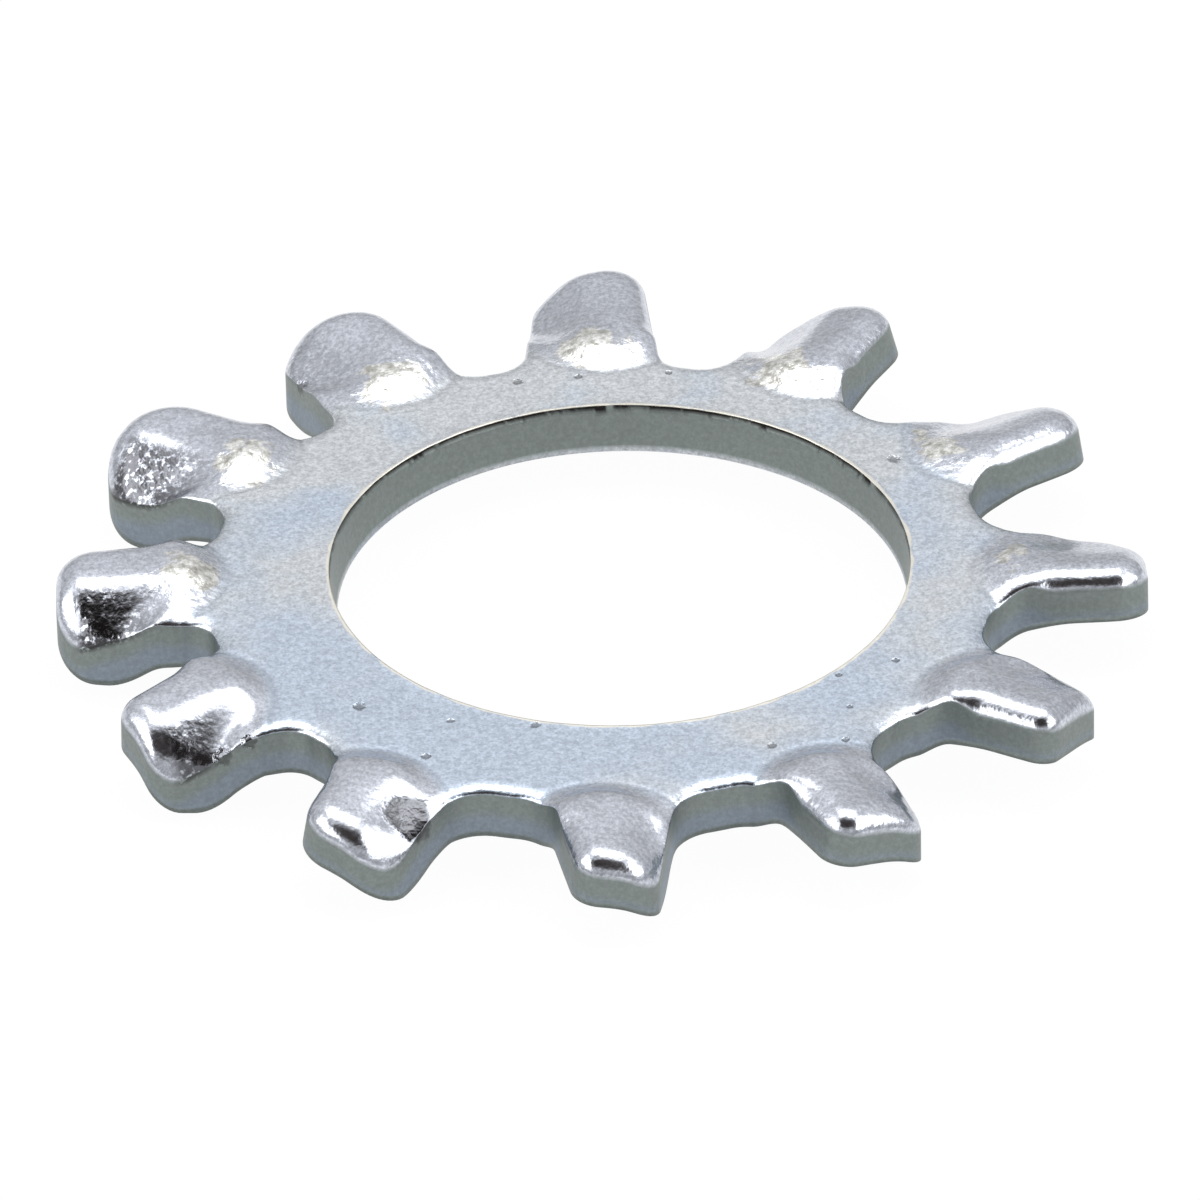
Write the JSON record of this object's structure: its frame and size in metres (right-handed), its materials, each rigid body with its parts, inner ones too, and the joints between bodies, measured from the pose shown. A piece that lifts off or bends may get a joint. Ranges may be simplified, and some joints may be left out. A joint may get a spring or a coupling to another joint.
{
  "type": "toothed lock washer",
  "caption": "External-tooth lock washer: a flat spring-steel ring with twisted radial teeth that bite under a bolt head or nut to stop it turning loose.",
  "frame": {"origin": "on the bore's axis, at mid thickness of the flat ring", "axes": "+Z along the bore axis, out of the face with the rolled outer edge; tooth 1 points along +Y and the teeth are counted clockwise seen from above"},
  "size_m": [0.0158, 0.0157, 0.0017],
  "materials": {
    "zinc_plated_steel": "bright zinc plating over spring steel, satin on the flat ring, burnished on the teeth"
  },
  "bodies": {
    "root": {"lock_washer": "zinc_plated_steel"}
  },
  "joints": []
}
